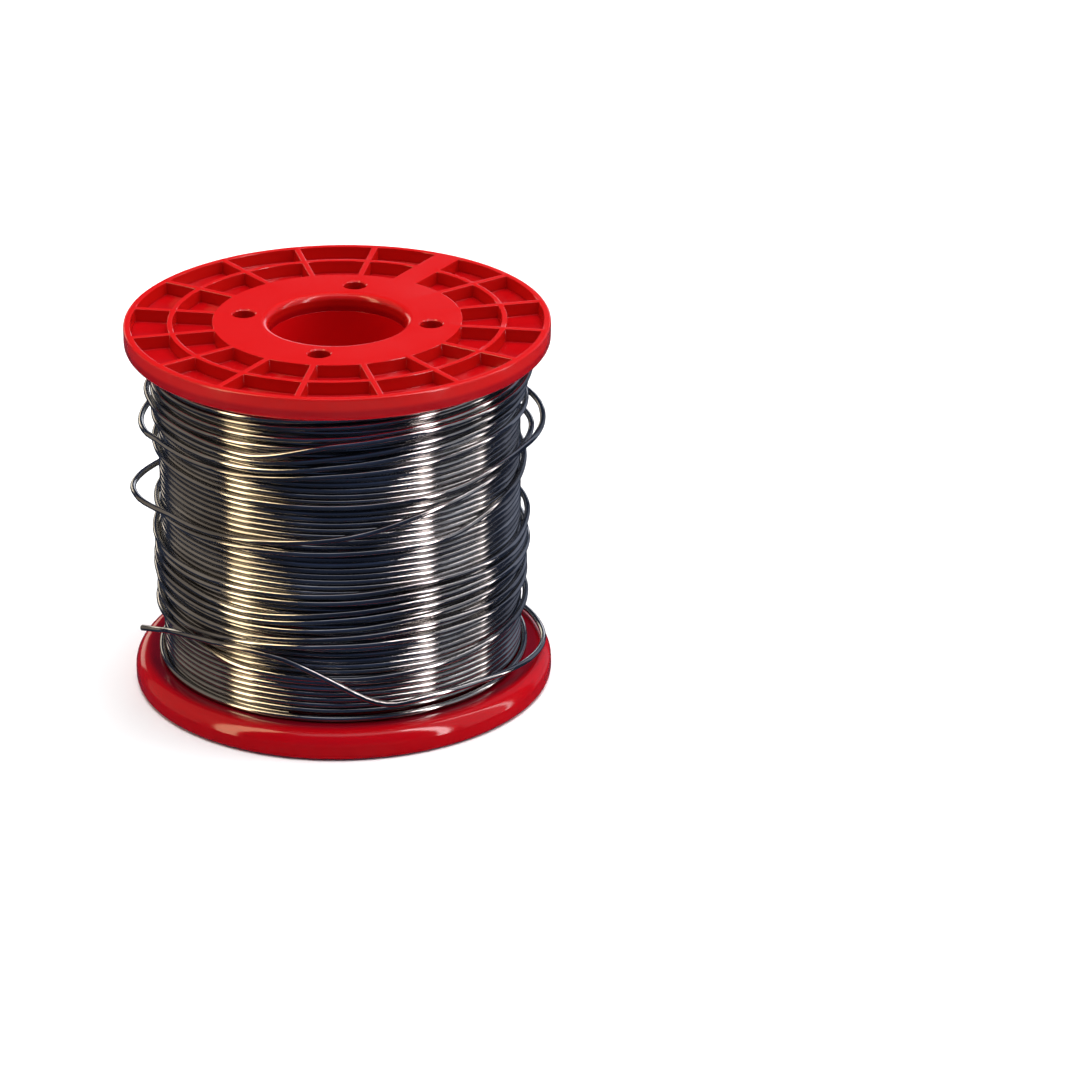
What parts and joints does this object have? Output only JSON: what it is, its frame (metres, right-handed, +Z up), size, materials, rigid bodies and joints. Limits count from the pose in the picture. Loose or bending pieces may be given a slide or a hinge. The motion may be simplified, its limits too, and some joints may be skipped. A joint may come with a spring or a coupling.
{
  "type": "solder wire spool",
  "caption": "Moulded two-flange reel wound with fine solder wire: a ribbed upper flange, a dished lower flange, a round bore and loose outer turns.",
  "frame": {"origin": "centre of the bore, on the plane of the lower flange's rim that the reel stands on", "axes": "+Z up along the reel's axis, -Y towards the front; the loose turns bulge out at -X and +X and the cut end of the wire is at -X"},
  "size_m": [0.07, 0.07, 0.0635],
  "materials": {
    "bright_red_plastic": "moulded polystyrene, satin to glossy",
    "deep_red_plastic": "moulded polystyrene, glossy",
    "inner_red_plastic": "moulded polystyrene, as moulded",
    "solder": "drawn tin and lead wire, bright with a grey bloom"
  },
  "bodies": {
    "root": {"upper_flange": "bright_red_plastic", "lower_flange": "deep_red_plastic", "winding_barrel": "inner_red_plastic", "bore_sleeve": "inner_red_plastic", "solder_winding": "solder", "loose_turn_upper_left": "solder", "loose_turn_mid_left": "solder", "loose_turn_upper_right": "solder", "wire_tail": "solder"}
  },
  "joints": []
}
